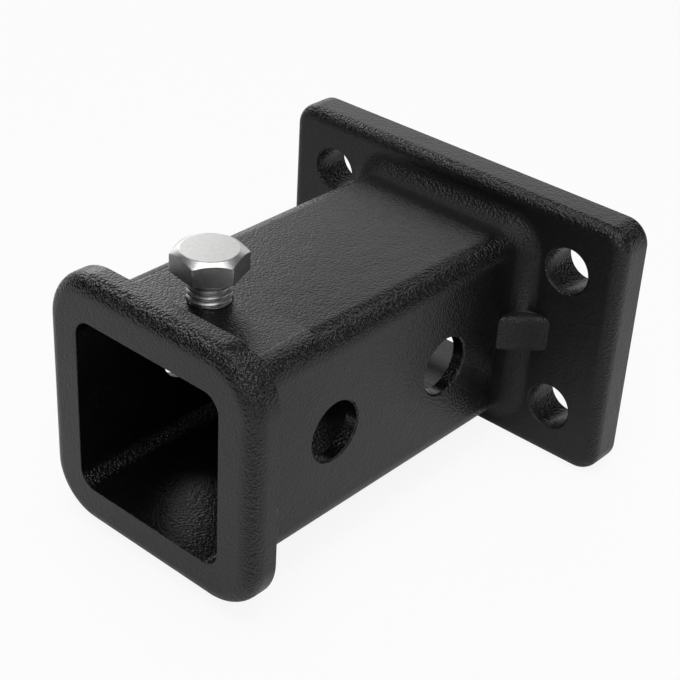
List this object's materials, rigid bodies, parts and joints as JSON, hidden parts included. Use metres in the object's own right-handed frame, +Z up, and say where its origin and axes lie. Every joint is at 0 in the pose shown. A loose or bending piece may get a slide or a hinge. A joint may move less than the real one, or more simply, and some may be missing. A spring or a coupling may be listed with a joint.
{
  "type": "bolt-on receiver tube",
  "caption": "Square hitch receiver tube cast in one piece with a bolt-on flange, a thick mouth collar and cross holes for a hitch pin, with a hex bolt through its roof that stops rattling.",
  "frame": {"origin": "where the socket's axis meets the flange's mounting face, at the centre of the four flange holes", "axes": "+Y out of the mounting face, so that the mouth faces -Y; +Z up, on the side of the bolt; +X to the right seen from the mouth"},
  "size_m": [0.12, 0.128, 0.0833],
  "materials": {
    "powder_coat": "black textured powder coat",
    "zinc_plate": "bright zinc plate"
  },
  "bodies": {
    "receiver": {"receiver_body": "powder_coat"},
    "bolt": {"anti_rattle_bolt": "zinc_plate"}
  },
  "joints": [
    {"name": "bolt_travel", "type": "slide", "parent": "receiver", "child": "bolt", "axis": [0, 0, 1], "range_m": [-0.0066, 0.002]}
  ]
}
